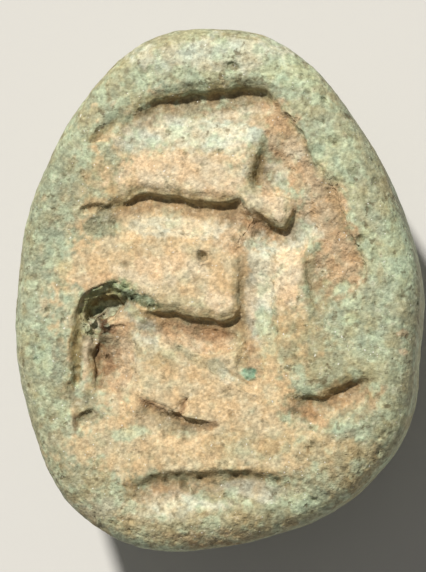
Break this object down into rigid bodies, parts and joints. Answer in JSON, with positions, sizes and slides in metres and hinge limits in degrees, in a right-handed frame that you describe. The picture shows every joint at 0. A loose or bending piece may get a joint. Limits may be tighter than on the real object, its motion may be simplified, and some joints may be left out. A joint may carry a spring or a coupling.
{
  "type": "scaraboid",
  "caption": "Worn faience scaraboid: an oval bead with a flat face of deep-cut abstract forms, a plain domed back and a bore from end to end for a cord or pin.",
  "frame": {"origin": "middle of the bounding box's underside, on the small flat of the back that the bead lies on", "axes": "+Z out of the carved face, +Y along the length towards the narrow end, +X across the width"},
  "size_m": [0.0156, 0.02, 0.0086],
  "materials": {
    "worn_faience": "worn matte faience: grey-green glaze left on the rim, sandy tan body on the raised forms, brown in the hollows"
  },
  "bodies": {
    "root": {"scaraboid": "worn_faience"}
  },
  "joints": []
}
